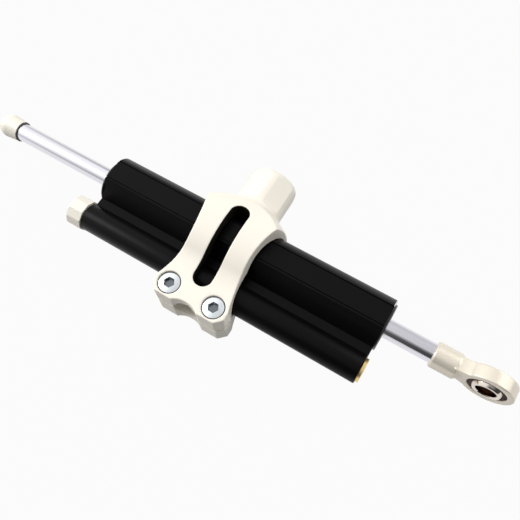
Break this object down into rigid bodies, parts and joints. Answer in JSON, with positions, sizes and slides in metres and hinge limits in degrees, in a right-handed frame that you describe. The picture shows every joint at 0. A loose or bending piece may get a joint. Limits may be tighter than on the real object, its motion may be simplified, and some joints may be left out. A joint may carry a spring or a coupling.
{
  "type": "motorcycle steering damper",
  "caption": "Through-rod hydraulic steering damper in a slotted split clamp with a hexagonal boss, a rod end with a spherical bearing, and a click adjuster on the reservoir tube",
  "frame": {"origin": "the mouth of the tapped hole in the clamp's boss", "axes": "+X along the rod towards its rod end, +Y out of the boss's tapped hole, +Z out of the clamp's front plate, where the bolt heads are"},
  "size_m": [0.3088, 0.0871, 0.0432],
  "materials": {
    "silver_aluminium": "bead-blasted and clear anodised",
    "zinc_steel": "bright zinc plate",
    "black_aluminium": "black anodised, semi-gloss",
    "hard_chrome": "ground and polished hard chrome",
    "plain_aluminium": "turned",
    "bearing_steel": "polished",
    "race_steel": "ground",
    "bronze": "turned",
    "gold_aluminium": "gold anodised",
    "spring_steel": "blued",
    "needle_steel": "ground",
    "rubber": "moulded",
    "band_plastic": "filled PTFE"
  },
  "bodies": {
    "clamp": {"clamp": "silver_aluminium", "clamp_bolts": "zinc_steel"},
    "damper": {"body": "black_aluminium", "left_seal_head": "black_aluminium", "right_seal_head": "black_aluminium", "left_guide_bush": "bronze", "right_guide_bush": "bronze", "left_rod_seal": "rubber", "right_rod_seal": "rubber", "left_wiper": "rubber", "right_wiper": "rubber", "left_head_oring": "rubber", "right_head_oring": "rubber", "adjuster_gland": "bronze", "knob_clip": "spring_steel", "gland_oring": "rubber", "needle_oring": "rubber", "detent_ball": "bearing_steel", "detent_spring": "spring_steel", "valve_seat": "bronze", "reservoir_plug": "gold_aluminium", "plug_oring": "rubber"},
    "band": {"piston_band": "band_plastic"},
    "rod": {"rod": "hard_chrome", "piston": "plain_aluminium", "piston_clips": "spring_steel", "stop_cap": "silver_aluminium", "bumper_ring": "rubber", "rod_end": "silver_aluminium", "bearing_race": "race_steel"},
    "ball": {"bearing_ball": "bearing_steel"},
    "knob": {"adjuster_knob": "silver_aluminium"},
    "needle": {"needle_valve": "needle_steel"},
    "compensator": {"floating_piston": "plain_aluminium", "floating_oring": "rubber"}
  },
  "joints": [
    {"name": "clamp_slide", "type": "slide", "parent": "clamp", "child": "damper", "axis": [1, 0, 0], "range_m": [-0.06, 0.05]},
    {"name": "rod_stroke", "type": "slide", "parent": "damper", "child": "band", "axis": [1, 0, 0], "range_m": [-0.0233, 0.0647]},
    {"name": "rod_turn", "type": "hinge", "parent": "band", "child": "rod", "pos_m": [0, -0.0434, 0], "axis": [1, 0, 0], "continuous": true},
    {"name": "ball_swivel", "type": "hinge", "parent": "rod", "child": "ball", "pos_m": [0.1398, -0.0434, 0], "axis": [0, 1, 0], "continuous": true},
    {"name": "knob_turn", "type": "hinge", "parent": "damper", "child": "knob", "pos_m": [0, -0.0676, 0], "axis": [1, 0, 0], "range_deg": [-540, 540]},
    {"name": "needle_feed", "type": "slide", "parent": "damper", "child": "needle", "axis": [1, 0, 0], "range_m": [-0.00075, 0.00075]},
    {"name": "compensator_float", "type": "slide", "parent": "damper", "child": "compensator", "axis": [1, 0, 0], "range_m": [-0.0035, 0.0035]}
  ],
  "couplings": [
    {"joint": "knob_turn", "follows": "needle_feed", "rad_per_m": 12566}
  ]
}
